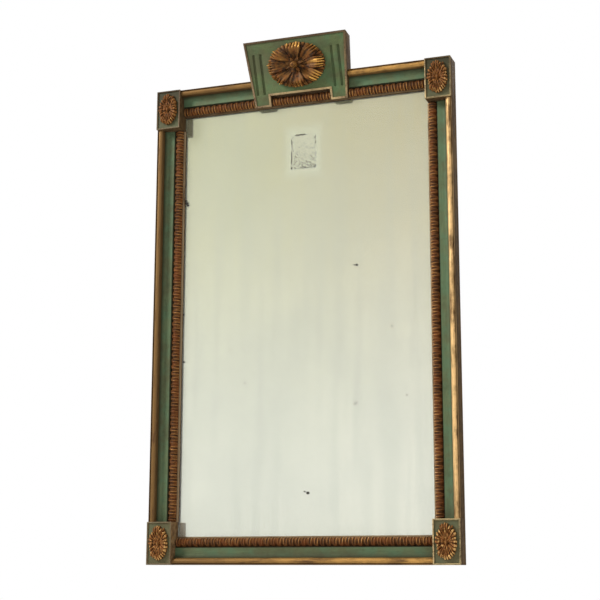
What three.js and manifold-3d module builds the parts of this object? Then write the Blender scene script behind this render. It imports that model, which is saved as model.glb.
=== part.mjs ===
// A tall neoclassical trumeau mirror in painted and gilded wood.
//
// Millimetres, +Z up. The origin is the centre of the middle batten's back face, which lies
// against the wall, at the mid-height of the frame. The glass faces -Y and +X is to the right.
//
// A half-lapped softwood frame carries four lengths of moulding on each side: a gilded outer
// bead, a green frieze, a carved leaf moulding and a thin sight slip. A block with an oval
// rosette covers each corner, and a keystone-shaped crest tablet leans forward over the top
// rail. Behind the slip lie the silvered glass, thin boards and three battens. Two iron
// plates with swinging rings carry the mirror.

import * as THREE from 'three';
import { mergeVertices } from 'three/addons/utils/BufferGeometryUtils.js';
import Module from 'manifold-3d';

const wasm = await Module();
wasm.setup();

// ---- driving dimensions -------------------------------------------------------------

const FRAME_WIDTH = 900;
const FRAME_HEIGHT = 1395;
const GAP = 0.3;                    // between pieces that touch

const BATTEN_THICKNESS = 18;        // the frame's back stands this far off the wall
const BATTEN_HEIGHT = 70;
const BATTEN_LENGTH = 872;
const BATTEN_SPACING = 560;         // from the middle batten to the upper and the lower one

const CARCASS_WIDTH = 66;           // the lapped frame behind the mouldings
const CARCASS_THICKNESS = 20;
const SIGHT_WIDTH = 78;             // from the outer edge to the edge of the visible glass
const BEAD_TOP = 54;                // heights are measured forward from the frame's back
const BEAD_WIDTH = 19.2;
const FRIEZE_TOP = 29.8;
const FRIEZE_LIP = 39.5;
const LEAF_START = 49.6;
const LEAF_END = 74.2;
const LEAF_TOP = 35.5;

const BLOCK_WIDTH = 75;
const BLOCK_HEIGHT = 119;
const BLOCK_TOP = 60.5;
const BLOCK_RIM = 4;
const BLOCK_RECESS = 3.5;

const CREST_LEAN = THREE.MathUtils.degToRad(21);
const CREST_SLANT = 191.6;          // the front face, measured up its slope
const CREST_TOP_HALF = 156.5;
const CREST_FOOT_HALF = 141.8;
const CREST_FOOT_DROP = 78.9;       // the legs' feet, below the top of the frame
const CREST_FOOT_FRONT = 33.1;      // the legs' front at their feet, from the frame's back
const CREST_THICKNESS = 44;
const CREST_RIM = 6;
const CREST_RECESS = 2;
const NOTCH_HALF = 91.5;            // half the opening between the legs
const NOTCH_HEIGHT = 31.5;
const FLUTE_RADIUS = 4.2;
const FLUTE_PLACES = [108.5, 129.5];
const FLUTE_LOW = 35.2;
const FLUTE_HIGH = 154.6;

const GLASS_THICKNESS = 5;
const GLASS_FRONT = 12.5;
const GLASS_CLEARANCE = 2;          // beside and above the glass; it stands on the bottom rail
const SILVER_THICKNESS = 0.6;
const BOARD_THICKNESS = 5.5;
const BOARD_COUNT = 3;

const HANGER_HEIGHT = 440;          // the rings' hinge line, above the middle of the frame
const HANGER_PLATE = { width: 30, height: 62, thickness: 2.5 };
const EYE = { outer: 5.8, bore: 3.8, length: 10 };
const RING = { radius: 18, wire: 2.2 };

const SCREW = { head: 4.4, shank: 2.2, headDepth: 3, point: 4 };
const HANGER_SCREW = { head: 3.4, shank: 1.7, headDepth: 2.2, point: 3 };

const HALF_WIDTH = FRAME_WIDTH / 2;
const HALF_HEIGHT = FRAME_HEIGHT / 2;
const STILE_CENTRE = HALF_WIDTH - CARCASS_WIDTH / 2;

// ---- finishes -----------------------------------------------------------------------

const finish = (color, roughness, metalness) => ({ color, roughness, metalness });
const GREEN_PAINT = finish(0x5e7050, 0.7, 0);
const GILDING = finish(0xb5874a, 0.45, 0.6);
const CARVED_GILDING = finish(0x7a4e2a, 0.5, 0.4);
const BARE_PINE = finish(0x9a7750, 0.85, 0);
const SILVERING = finish(0xd8d9c4, 0.1, 1);
const GLASS = finish(0xe6ead8, 0.05, 0);
const IRON = finish(0x3a3733, 0.6, 0.8);

// ---- solids -------------------------------------------------------------------------

const mirror = new THREE.Group();

function addPiece(name, geometry, look, parent = mirror) {
  const material = new THREE.MeshStandardMaterial(look);
  const mesh = new THREE.Mesh(geometry, material);
  mesh.name = name;
  parent.add(mesh);
  return mesh;
}

function weld(geometry) {
  const bare = geometry.clone();
  bare.deleteAttribute('normal');
  bare.deleteAttribute('uv');
  return mergeVertices(bare, 1e-4);
}

function toSolid(geometry) {
  const welded = weld(geometry);
  return new wasm.Manifold(new wasm.Mesh({
    numProp: 3,
    vertProperties: new Float32Array(welded.attributes.position.array),
    triVerts: new Uint32Array(welded.index.array),
  }));
}

function toGeometry(solid) {
  const mesh = solid.getMesh();
  const geometry = new THREE.BufferGeometry();
  geometry.setAttribute('position', new THREE.BufferAttribute(mesh.vertProperties, 3));
  geometry.setIndex(new THREE.BufferAttribute(mesh.triVerts, 1));
  geometry.computeVertexNormals();
  return geometry;
}

function cutBy(geometry, cutters) {
  const start = toSolid(geometry);
  return toGeometry(cutters.reduce((solid, cutter) => solid.subtract(toSolid(cutter)), start));
}

function joinOf(first, second) {
  return toGeometry(toSolid(first).add(toSolid(second)));
}

// A box from its lowest to its highest corner.
function boxBetween(low, high) {
  const size = high.map((value, axis) => value - low[axis]);
  const middle = high.map((value, axis) => (value + low[axis]) / 2);
  return new THREE.BoxGeometry(...size).translate(...middle);
}

// The y of a surface that stands `height` forward of the frame's back.
function frontOf(height) {
  return -(BATTEN_THICKNESS + height);
}

function polygon(points) {
  return new THREE.Shape(points.map(([x, y]) => new THREE.Vector2(x, y)));
}

function prism(points, depth) {
  return new THREE.ExtrudeGeometry(polygon(points), { depth, bevelEnabled: false });
}

// Points of an arc of an ellipse, from one angle to the other, in degrees.
function arcPoints([cx, cy], [rx, ry], from, to, steps) {
  return Array.from({ length: steps + 1 }, (_, step) => {
    const angle = THREE.MathUtils.degToRad(from + ((to - from) * step) / steps);
    return [cx + rx * Math.cos(angle), cy + ry * Math.sin(angle)];
  });
}

// ---- screws, all driven forward, along -Y -------------------------------------------

const lathe = (outline) => (
  new THREE.LatheGeometry(outline.map(([r, y]) => new THREE.Vector2(r, y)), 10)
);

function screwGeometry(size, length) {
  return lathe([
    [0, -length],
    [size.shank, -length + size.point],
    [size.shank, -size.headDepth],
    [size.head, 0],
    [0, 0],
  ]);
}

// The countersunk hole of a screw, open at the face that the screw is driven through.
function screwHole(size, length) {
  const open = 5;
  return lathe([
    [0, -length - GAP],
    [size.shank + GAP, -length + size.point - GAP],
    [size.shank + GAP, -size.headDepth],
    [size.head + GAP, 0],
    [size.head + GAP, open],
    [0, open],
  ]);
}

// Screws whose heads lie at the given places, by name, and the holes that they need.
function screwSet(size, length, places) {
  const names = Object.keys(places);
  const put = (geometry, name) => geometry.translate(...places[name]);
  return {
    screws: names.map((name) => [name, put(screwGeometry(size, length), name)]),
    holes: names.map((name) => put(screwHole(size, length), name)),
  };
}

const SIDES = { left: -1, right: 1 };
const BATTEN_PLACES = { upper: BATTEN_SPACING, middle: 0, lower: -BATTEN_SPACING };

const battenScrewPlaces = {};
for (const [height, z] of Object.entries(BATTEN_PLACES)) {
  for (const [side, sign] of Object.entries(SIDES)) {
    battenScrewPlaces[`${height}_batten_${side}_screw`] = [sign * STILE_CENTRE, -0.6, z];
  }
}
const battenScrews = screwSet(SCREW, 32, battenScrewPlaces);

const CREST_SCREW_PLACE = 118;
const crestScrews = screwSet(SCREW, 36, {
  crest_left_screw: [-CREST_SCREW_PLACE, frontOf(0.6), HALF_HEIGHT - 30],
  crest_right_screw: [CREST_SCREW_PLACE, frontOf(0.6), HALF_HEIGHT - 30],
});

const plateBack = -BATTEN_THICKNESS + GAP;
const plateFace = plateBack + HANGER_PLATE.thickness;
const hangerScrewPlace = (sign, up) => [sign * STILE_CENTRE, plateFace - 0.1, HANGER_HEIGHT + up];
const hangerScrews = Object.fromEntries(Object.entries(SIDES).map(([side, sign]) => [
  side,
  screwSet(HANGER_SCREW, 16, {
    [`${side}_hanger_lower_screw`]: hangerScrewPlace(sign, 20),
    [`${side}_hanger_upper_screw`]: hangerScrewPlace(sign, 48),
  }),
]));

// ---- the lapped frame ---------------------------------------------------------------

// The ends are halved. A stile or a rail is a full bar between its shoulders and a tongue
// half as thick, which runs on to both ends: behind on the stiles and in front on the rails.
const TONGUE = (CARCASS_THICKNESS - GAP) / 2;

function stileGeometry(sign, holes) {
  const left = sign > 0 ? HALF_WIDTH - CARCASS_WIDTH : -HALF_WIDTH;
  const right = left + CARCASS_WIDTH;
  const shoulder = HALF_HEIGHT - CARCASS_WIDTH - GAP;
  const bar = boxBetween(
    [left, frontOf(CARCASS_THICKNESS), -shoulder],
    [right, frontOf(0), shoulder],
  );
  const tongue = boxBetween(
    [left, frontOf(TONGUE), -HALF_HEIGHT],
    [right, frontOf(0), HALF_HEIGHT],
  );
  return cutBy(joinOf(bar, tongue), holes);
}

function railGeometry(sign, holes) {
  const low = sign > 0 ? HALF_HEIGHT - CARCASS_WIDTH : -HALF_HEIGHT;
  const high = low + CARCASS_WIDTH;
  const shoulder = HALF_WIDTH - CARCASS_WIDTH - GAP;
  const bar = boxBetween(
    [-shoulder, frontOf(CARCASS_THICKNESS), low],
    [shoulder, frontOf(0), high],
  );
  const tongue = boxBetween(
    [-HALF_WIDTH, frontOf(CARCASS_THICKNESS), low],
    [HALF_WIDTH, frontOf(CARCASS_THICKNESS - TONGUE), high],
  );
  return cutBy(joinOf(bar, tongue), holes);
}

for (const [side, sign] of Object.entries(SIDES)) {
  const holes = [...battenScrews.holes, ...hangerScrews[side].holes];
  addPiece(`${side}_stile`, stileGeometry(sign, holes), BARE_PINE);
}
addPiece('top_rail', railGeometry(1, crestScrews.holes), BARE_PINE);
addPiece('bottom_rail', railGeometry(-1, []), BARE_PINE);

// ---- the crest tablet's own axes ----------------------------------------------------

// x across, y up the sloping front, z straight out of it, from the foot of the front face.
const crestAxes = new THREE.Matrix4().makeBasis(
  new THREE.Vector3(1, 0, 0),
  new THREE.Vector3(0, -Math.sin(CREST_LEAN), Math.cos(CREST_LEAN)),
  new THREE.Vector3(0, -Math.cos(CREST_LEAN), -Math.sin(CREST_LEAN)),
);
const crestFoot = [0, frontOf(CREST_FOOT_FRONT), HALF_HEIGHT - CREST_FOOT_DROP];
crestAxes.setPosition(...crestFoot);

// Half the crest's width at a point of the frame, given by its height above the frame's
// back and its distance down from the frame's top edge.
function crestHalfWidth(height, down) {
  const forward = height - CREST_FOOT_FRONT;
  const up = CREST_FOOT_DROP - down;
  const slant = forward * Math.sin(CREST_LEAN) + up * Math.cos(CREST_LEAN);
  return CREST_FOOT_HALF + ((CREST_TOP_HALF - CREST_FOOT_HALF) * slant) / CREST_SLANT;
}

// ---- mouldings ----------------------------------------------------------------------

// One side of the frame as a group: x runs inward from the outer edge, y forward from the
// frame's back, and z along the side.
function sideGroup(inward, along, edge) {
  const forward = new THREE.Vector3(0, -1, 0);
  const group = new THREE.Group();
  const basis = new THREE.Matrix4().makeBasis(inward, forward, along);
  group.quaternion.setFromRotationMatrix(basis);
  group.position.copy(edge);
  mirror.add(group);
  return group;
}

const AXIS = (x, z) => new THREE.Vector3(x, 0, z);
const edgeAt = (x, z) => new THREE.Vector3(x, -BATTEN_THICKNESS, z);
const leftSide = sideGroup(AXIS(1, 0), AXIS(0, -1), edgeAt(-HALF_WIDTH, 0));
const rightSide = sideGroup(AXIS(-1, 0), AXIS(0, 1), edgeAt(HALF_WIDTH, 0));
const bottomSide = sideGroup(AXIS(0, 1), AXIS(1, 0), edgeAt(0, -HALF_HEIGHT));
const topSide = sideGroup(AXIS(0, -1), AXIS(-1, 0), edgeAt(0, HALF_HEIGHT));

// A moulding of the given section. Its ends lie at start and end, which may be numbers or
// functions of the place in the section, for ends that are scribed to the leaning crest.
function moulding(section, start, end) {
  const at = (place, x, y) => (typeof place === 'function' ? place(x, y) : place);
  const geometry = prism(section, 1);
  const points = geometry.attributes.position;
  for (let index = 0; index < points.count; index += 1) {
    const x = points.getX(index);
    const y = points.getY(index);
    const place = points.getZ(index) > 0.5 ? end : start;
    points.setZ(index, at(place, x, y));
  }
  return geometry;
}

const seat = CARCASS_THICKNESS + GAP;

// A cushion that falls away slowly inward, with a fillet and a narrow groove outside it.
const beadSection = [
  [0, seat],
  [BEAD_WIDTH, seat],
  [BEAD_WIDTH, 44],
  ...arcPoints([9.4, 45], [9.5, BEAD_TOP - 45], 5, 90, 6),
  ...arcPoints([9.4, 48], [5.6, BEAD_TOP - 48], 110, 170, 3),
  [3.2, 48.4],
  [2.4, 51.2],
  [0.9, 51.8],
  [0, 50.8],
];

const friezeSection = [
  [BEAD_WIDTH + GAP, seat],
  [LEAF_START - GAP, seat],
  [LEAF_START - GAP, FRIEZE_TOP - 3.2],
  [47.4, FRIEZE_TOP - 3.2],
  [46.8, FRIEZE_TOP],
  [35, FRIEZE_TOP - 0.8],
  [27.5, 30.8],
  [23, 34.2],
  [21, FRIEZE_LIP],
  [BEAD_WIDTH + GAP, FRIEZE_LIP],
];

const leafMiddle = (LEAF_START + LEAF_END) / 2;
const leafHalf = (LEAF_END - LEAF_START) / 2;
const leafSection = [
  [LEAF_START, seat],
  [LEAF_END, seat],
  ...arcPoints([leafMiddle, 23], [leafHalf, LEAF_TOP - 23], 0, 180, 10),
];

const slipSection = [
  [CARCASS_WIDTH + GAP, GLASS_FRONT + GAP],
  [SIGHT_WIDTH, GLASS_FRONT + GAP],
  [SIGHT_WIDTH, 16.6],
  [SIGHT_WIDTH - 1.2, 18],
  [74.8, 18],
  [74.8, CARCASS_THICKNESS],
  [CARCASS_WIDTH + GAP, CARCASS_THICKNESS],
];

const sections = {
  bead: [beadSection, GILDING],
  frieze: [friezeSection, GREEN_PAINT],
  leaf_moulding: [leafSection, CARVED_GILDING],
  sight_slip: [slipSection, GILDING],
};

const stileEnd = HALF_HEIGHT - BLOCK_HEIGHT - GAP;
const railEnd = HALF_WIDTH - BLOCK_WIDTH - GAP;
const crestSide = (sign) => (down, height) => sign * (crestHalfWidth(height, down) + GAP * 2);

for (const [kind, [section, look]] of Object.entries(sections)) {
  addPiece(`left_${kind}`, moulding(section, -stileEnd, stileEnd), look, leftSide);
  addPiece(`right_${kind}`, moulding(section, -stileEnd, stileEnd), look, rightSide);
  addPiece(`bottom_${kind}`, moulding(section, -railEnd, railEnd), look, bottomSide);
}

// Along the top the bead, frieze and leaf moulding stop against the crest; the slip runs on.
for (const kind of ['bead', 'frieze', 'leaf_moulding']) {
  const [section, look] = sections[kind];
  addPiece(`top_left_${kind}`, moulding(section, crestSide(1), railEnd), look, topSide);
  addPiece(`top_right_${kind}`, moulding(section, -railEnd, crestSide(-1)), look, topSide);
}
const betweenLegs = NOTCH_HALF - GAP * 2;
addPiece('top_middle_leaf_moulding', moulding(leafSection, -betweenLegs, betweenLegs),
  CARVED_GILDING, topSide);
addPiece('top_sight_slip', moulding(slipSection, -railEnd, railEnd), GILDING, topSide);

// ---- carved rosettes ----------------------------------------------------------------

// An oval flower as a lathe turned about its own height, then drawn out into an oval and
// scalloped. Each row is [share of the radius, height, depth of the scallops, petals].
function rosette(rows, halfWidth, halfHeight, steps) {
  const outline = rows.map(([share, height]) => new THREE.Vector2(share, height));
  const geometry = weld(new THREE.LatheGeometry(outline, steps));
  const points = geometry.attributes.position;
  for (let index = 0; index < points.count; index += 1) {
    const x = points.getX(index);
    const z = points.getZ(index);
    const height = points.getY(index);
    const share = Math.hypot(x, z);
    const row = rows.find(([r, h]) => Math.abs(r - share) < 1e-3 && Math.abs(h - height) < 1e-3);
    const angle = Math.atan2(z, x);
    const scallop = 0.5 + 0.5 * Math.cos(row[3] * angle);
    const shrink = 1 - row[2] * (1 - scallop);
    points.setXYZ(index, x * shrink * halfWidth, height, z * shrink * halfHeight);
  }
  return geometry.rotateX(Math.PI / 2);
}

const CREST_LOBES = 42;
const CREST_PETALS = 14;
const crestRosetteRows = [
  [0, 0, 0, 0],
  [0.97, 0, 0.06, CREST_LOBES],
  [1, 3, 0.06, CREST_LOBES],
  [0.9, 10, 0.05, CREST_LOBES],
  [0.76, 20, 0.04, CREST_PETALS],
  [0.6, 27, 0.08, CREST_PETALS],
  [0.48, 26, 0.06, CREST_PETALS],
  [0.34, 19, 0, 0],
  [0.17, 14, 0, 0],
  [0.12, 20, 0, 0],
  [0.115, 36, 0, 0],
  [0.08, 42.5, 0, 0],
  [0, 45, 0, 0],
];
const CREST_ROSETTE = { halfWidth: 90.5, halfHeight: 66.5, up: 111.7 };

const CORNER_LOBES = 24;
const cornerRosetteRows = [
  [0, 0, 0, 0],
  [0.98, 0, 0.08, CORNER_LOBES],
  [1, 2.5, 0.08, CORNER_LOBES],
  [0.8, 7, 0.06, CORNER_LOBES],
  [0.52, 9.5, 0.05, CORNER_LOBES / 2],
  [0.2, 9, 0, 0],
  [0.12, 13, 0, 0],
  [0, 14, 0, 0],
];
const CORNER_ROSETTE = { halfWidth: 31, halfHeight: 50.5 };

// ---- corner blocks ------------------------------------------------------------------

// A block sits on the lapped corner and steps down over the edge of the glass, where it
// reaches past the rail. Its front is sunk inside a narrow rim.
function blockGeometry(sx, sz) {
  const outer = sx * HALF_WIDTH;
  const inner = sx * (HALF_WIDTH - BLOCK_WIDTH);
  const far = sz * HALF_HEIGHT;
  const near = sz * (HALF_HEIGHT - BLOCK_HEIGHT);
  const step = sx * (HALF_WIDTH - CARCASS_WIDTH - GAP);
  const railEdge = sz * (HALF_HEIGHT - CARCASS_WIDTH - GAP);
  const span = (a, b) => [Math.min(a, b), Math.max(a, b)];
  const box = ([x0, x1], [h0, h1], [z0, z1]) => (
    boxBetween([x0, frontOf(h1), z0], [x1, frontOf(h0), z1])
  );
  const body = box(span(outer, inner), [seat, BLOCK_TOP], span(near, far));
  const lap = box(span(step, inner), [GLASS_FRONT + GAP, seat + 1], span(near, railEdge));
  const sunk = box(
    span(outer - sx * BLOCK_RIM, inner + sx * BLOCK_RIM),
    [BLOCK_TOP - BLOCK_RECESS, BLOCK_TOP + 1],
    span(near + sz * BLOCK_RIM, far - sz * BLOCK_RIM),
  );
  return cutBy(joinOf(body, lap), [sunk]);
}

const CORNERS = {
  top_left: [-1, 1],
  top_right: [1, 1],
  bottom_left: [-1, -1],
  bottom_right: [1, -1],
};

for (const [place, [sx, sz]] of Object.entries(CORNERS)) {
  addPiece(`${place}_corner_block`, blockGeometry(sx, sz), GREEN_PAINT);
  const flower = rosette(
    cornerRosetteRows, CORNER_ROSETTE.halfWidth, CORNER_ROSETTE.halfHeight, CORNER_LOBES * 2,
  );
  const mesh = addPiece(`${place}_corner_rosette`, flower, CARVED_GILDING);
  mesh.position.set(
    sx * (HALF_WIDTH - BLOCK_WIDTH / 2),
    frontOf(BLOCK_TOP - BLOCK_RECESS + GAP),
    sz * (HALF_HEIGHT - BLOCK_HEIGHT / 2),
  );
  mesh.rotation.x = Math.PI / 2;
}

// ---- crest tablet -------------------------------------------------------------------

// The tablet's outline, inset by `rim`, as a keystone on two legs.
function crestOutline(rim, extra = 0) {
  const slope = (CREST_TOP_HALF - CREST_FOOT_HALF) / CREST_SLANT;
  const half = (up) => CREST_FOOT_HALF + slope * up - rim;
  const top = CREST_SLANT - rim + extra;
  const inner = NOTCH_HALF + rim;
  const notch = NOTCH_HEIGHT + rim;
  return [
    [-half(rim), rim],
    [-inner, rim],
    [-inner, notch],
    [inner, notch],
    [inner, rim],
    [half(rim), rim],
    [half(top), top],
    [-half(top), top],
  ];
}

function fluteGeometry(x) {
  const length = FLUTE_HIGH - FLUTE_LOW - 2 * FLUTE_RADIUS;
  return new THREE.CapsuleGeometry(FLUTE_RADIUS, length, 4, 10)
    .translate(x, (FLUTE_LOW + FLUTE_HIGH) / 2, -CREST_RECESS);
}

function crestGeometry() {
  const extra = CREST_THICKNESS;
  const body = prism(crestOutline(0, extra), CREST_THICKNESS).translate(0, 0, -CREST_THICKNESS);
  const sunk = prism(crestOutline(CREST_RIM), 10).translate(0, 0, -CREST_RECESS);
  const flutes = FLUTE_PLACES.flatMap((x) => [fluteGeometry(-x), fluteGeometry(x)]);
  const placed = [body, sunk, ...flutes].map((geometry) => geometry.applyMatrix4(crestAxes));
  const reach = 2 * CREST_TOP_HALF;
  const top = HALF_HEIGHT - CREST_FOOT_DROP + CREST_SLANT * Math.cos(CREST_LEAN);
  const aboveTop = boxBetween([-reach, -300, top], [reach, 100, top + 200]);
  const railBehind = boxBetween(
    [-reach, frontOf(seat), 0],
    [reach, 100, HALF_HEIGHT + GAP],
  );
  return cutBy(placed[0], [...placed.slice(1), aboveTop, railBehind, ...crestScrews.holes]);
}

addPiece('crest_tablet', crestGeometry(), GREEN_PAINT);
crestScrews.screws.forEach(([name, geometry]) => addPiece(name, geometry, IRON));

const crestGroup = new THREE.Group();
crestGroup.quaternion.setFromRotationMatrix(crestAxes);
crestGroup.position.set(...crestFoot);
mirror.add(crestGroup);
const crestFlower = rosette(
  crestRosetteRows, CREST_ROSETTE.halfWidth, CREST_ROSETTE.halfHeight, CREST_LOBES * 2,
);
addPiece('crest_rosette', crestFlower, CARVED_GILDING, crestGroup)
  .position.set(0, CREST_ROSETTE.up, -CREST_RECESS + GAP);

// Blocks rubbed with glue into the angle between the top rail and the crest's back.
function glueBlock(x) {
  const length = 60;
  const height = 15;
  const backAt = (up) => {
    const rise = CREST_FOOT_DROP + GAP + up;
    const thickness = CREST_THICKNESS / Math.cos(CREST_LEAN);
    return CREST_FOOT_FRONT + rise * Math.tan(CREST_LEAN) - thickness - GAP;
  };
  const section = [
    [3, 0],
    [backAt(0), 0],
    [backAt(height), height],
    [backAt(height) - 8, height],
  ];
  return prism(section, length)
    .rotateX(Math.PI / 2)
    .rotateZ(-Math.PI / 2)
    .translate(x + length / 2, -BATTEN_THICKNESS, HALF_HEIGHT + GAP);
}
for (const [side, sign] of Object.entries(SIDES)) {
  addPiece(`crest_${side}_glue_block`, glueBlock(sign * 80), BARE_PINE);
}

// ---- glass, silvering, boards and battens -------------------------------------------

const glassSide = HALF_WIDTH - CARCASS_WIDTH - GLASS_CLEARANCE;
const glassBottom = -HALF_HEIGHT + CARCASS_WIDTH + GAP;
const glassTop = HALF_HEIGHT - CARCASS_WIDTH - GLASS_CLEARANCE;
const glassBack = GLASS_FRONT - GLASS_THICKNESS;
const silverFront = glassBack - GAP;
const silverInset = 2;
addPiece('mirror_glass', boxBetween(
  [-glassSide, frontOf(GLASS_FRONT), glassBottom],
  [glassSide, frontOf(glassBack), glassTop],
), GLASS);
addPiece('silvering', boxBetween(
  [-glassSide + silverInset, frontOf(silverFront), glassBottom + silverInset],
  [glassSide - silverInset, frontOf(silverFront - SILVER_THICKNESS), glassTop - silverInset],
), SILVERING);

// Thin upright boards close the back of the frame, side by side.
const boardSpan = FRAME_WIDTH - 2 * CARCASS_WIDTH - 2;
const boardPitch = boardSpan / BOARD_COUNT;
const boardZ = HALF_HEIGHT - CARCASS_WIDTH - 1;
for (let index = 0; index < BOARD_COUNT; index += 1) {
  const left = -boardSpan / 2 + index * boardPitch;
  addPiece(`back_board_${index + 1}`, boxBetween(
    [left + GAP, frontOf(GAP + BOARD_THICKNESS), -boardZ],
    [left + boardPitch - GAP, frontOf(GAP), boardZ],
  ), BARE_PINE);
}

for (const [place, z] of Object.entries(BATTEN_PLACES)) {
  const batten = boxBetween(
    [-BATTEN_LENGTH / 2, -BATTEN_THICKNESS + GAP, z - BATTEN_HEIGHT / 2],
    [BATTEN_LENGTH / 2, 0, z + BATTEN_HEIGHT / 2],
  );
  addPiece(`${place}_batten`, cutBy(batten, battenScrews.holes), BARE_PINE);
}
battenScrews.screws.forEach(([name, geometry]) => addPiece(name, geometry, IRON));

// ---- hangers ------------------------------------------------------------------------

const eyeY = plateBack + EYE.outer;

// An iron strap, screwed to the stile, whose lower end is curled into an eye.
function hangerPlateGeometry(x, holes) {
  const { width, height } = HANGER_PLATE;
  const outline = [
    [-width / 2, 8],
    [-EYE.length / 2, 1],
    [EYE.length / 2, 1],
    [width / 2, 8],
    [width / 2, height - 8],
    [width / 2 - 8, height],
    [-width / 2 + 8, height],
    [-width / 2, height - 8],
  ];
  const plate = prism(outline, HANGER_PLATE.thickness)
    .rotateX(Math.PI / 2)
    .translate(x, plateFace, HANGER_HEIGHT);
  const round = (radius, length) => new THREE.CylinderGeometry(radius, radius, length, 20)
    .rotateZ(Math.PI / 2)
    .translate(x, eyeY, HANGER_HEIGHT);
  const strap = joinOf(plate, round(EYE.outer, EYE.length));
  return cutBy(strap, [round(EYE.bore, EYE.length * 4), ...holes]);
}

function hangerRingGeometry(x) {
  return new THREE.TorusGeometry(RING.radius, RING.wire, 8, 32)
    .rotateX(Math.PI / 2)
    .translate(x, eyeY, HANGER_HEIGHT - RING.radius);
}

for (const [side, sign] of Object.entries(SIDES)) {
  const x = sign * STILE_CENTRE;
  const { screws, holes } = hangerScrews[side];
  addPiece(`${side}_hanger_plate`, hangerPlateGeometry(x, holes), IRON);
  screws.forEach(([name, geometry]) => addPiece(name, geometry, IRON));
  addPiece(`${side}_hanger_ring`, hangerRingGeometry(x), IRON);
}

export default mirror;
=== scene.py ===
# A tall neoclassical trumeau mirror in painted and gilded wood.
#
# Metres, +Z up. The wall is the plane y = 0 and the glass faces -Y. The origin is the centre
# of the middle batten's back, at the mid-height of the frame.

import math

import bmesh
import bpy
from mathutils import Matrix, Vector, noise


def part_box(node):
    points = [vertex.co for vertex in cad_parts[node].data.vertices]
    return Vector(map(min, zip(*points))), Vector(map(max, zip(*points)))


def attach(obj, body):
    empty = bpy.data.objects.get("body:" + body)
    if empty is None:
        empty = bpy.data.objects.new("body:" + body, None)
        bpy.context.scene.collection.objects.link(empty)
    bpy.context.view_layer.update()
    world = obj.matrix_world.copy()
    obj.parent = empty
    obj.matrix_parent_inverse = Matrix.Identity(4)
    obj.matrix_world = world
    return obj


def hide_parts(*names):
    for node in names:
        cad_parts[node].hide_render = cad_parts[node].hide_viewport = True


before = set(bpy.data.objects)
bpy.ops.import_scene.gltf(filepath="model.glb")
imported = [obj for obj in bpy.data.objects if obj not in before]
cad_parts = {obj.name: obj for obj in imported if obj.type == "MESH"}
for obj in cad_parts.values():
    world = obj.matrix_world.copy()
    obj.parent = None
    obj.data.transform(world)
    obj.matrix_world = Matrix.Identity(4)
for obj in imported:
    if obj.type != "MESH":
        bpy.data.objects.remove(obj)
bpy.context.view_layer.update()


# ---- camera ---------------------------------------------------------------------------------
# The photograph is taken from the mirror's right and from the height of its bottom edge, with
# a long lens that looks up at the middle of the glass.

camera_data = bpy.data.cameras.new("camera")
camera_data.sensor_width = 36
camera_data.lens = 80.4
camera = bpy.data.objects.new("camera", camera_data)
camera.location = (1.2390, -3.5393, -0.7145)
CAMERA_RIGHT = Vector((0.94224, 0.33494, 0.00192))
CAMERA_UP = Vector((0.06472, -0.18768, 0.98009))
camera_turn = Matrix((CAMERA_RIGHT, CAMERA_UP, CAMERA_RIGHT.cross(CAMERA_UP))).transposed()
camera.rotation_euler = camera_turn.to_euler()
bpy.context.scene.collection.objects.link(camera)
bpy.context.scene.camera = camera


# ---- lapped softwood frame ------------------------------------------------------------------
# Two stiles and two rails of planed softwood, half-lapped and glued at the corners. They carry
# every moulding and show only at the back and as a narrow strip round the sides.

MM = 0.001


class Wire:
    """An output socket of a material's nodes. Arithmetic on it adds Math nodes."""

    def __init__(self, socket):
        self.socket = socket

    def node(self, kind, settings, sockets, output=0):
        """A node of this kind, fed by numbers or wires, as a wire from one of its outputs."""
        tree = self.socket.id_data
        made = tree.nodes.new("ShaderNode" + kind)
        for name, value in settings.items():
            setattr(made, name, value)
        for key, value in sockets.items():
            if isinstance(value, Wire):
                tree.links.new(value.socket, made.inputs[key])
            else:
                made.inputs[key].default_value = value
        return Wire(made.outputs[output])

    def math(self, operation, *values):
        return self.node("Math", {"operation": operation}, dict(enumerate(values)))

    def __add__(self, other):
        return self.math("ADD", self, other)

    def __sub__(self, other):
        return self.math("SUBTRACT", self, other)

    def __rsub__(self, other):
        return self.math("SUBTRACT", other, self)

    def __mul__(self, other):
        return self.math("MULTIPLY", self, other)

    def __truediv__(self, other):
        return self.math("DIVIDE", self, other)

    def __pow__(self, other):
        return self.math("POWER", self, other)

    __radd__ = __add__
    __rmul__ = __mul__


def rise(value, low, high, start=0.0, end=1.0):
    """A smooth change from start to end while value goes from low to high."""
    sockets = {0: value, 1: low, 2: high, 3: start, 4: end}
    return value.node("MapRange", {"interpolation_type": "SMOOTHSTEP"}, sockets)


def cloud(place, scale, detail=3.0, roughness=0.55, stretch=(1, 1, 1), distortion=0.0):
    """Noise from 0 to 1, drawn out along an axis where its stretch is under 1."""
    turned = place.node("Mapping", {}, {"Vector": place, "Scale": stretch})
    return place.node("TexNoise", {}, {
        "Vector": turned, "Scale": scale, "Detail": detail,
        "Roughness": roughness, "Distortion": distortion,
    })


def colour_input(colour):
    """A wire as it is, or a plain (red, green, blue) with the alpha that a socket asks for."""
    return colour if isinstance(colour, Wire) else (*colour, 1)


def blend(factor, first, second):
    """Two colours mixed; each is a wire or a plain (red, green, blue)."""
    sockets = {0: factor, 6: colour_input(first), 7: colour_input(second)}
    return factor.node("Mix", {"data_type": "RGBA"}, sockets, 2)


def scaled(colour, *shares):
    """A plain colour with its channels scaled, all by one share or each by its own."""
    return tuple(channel * share for channel, share in zip(colour, shares * (3 // len(shares))))


def axis_of(place, axis):
    """One coordinate of a place."""
    return place.node("SeparateXYZ", {}, {0: place}, "XYZ".index(axis))


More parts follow.
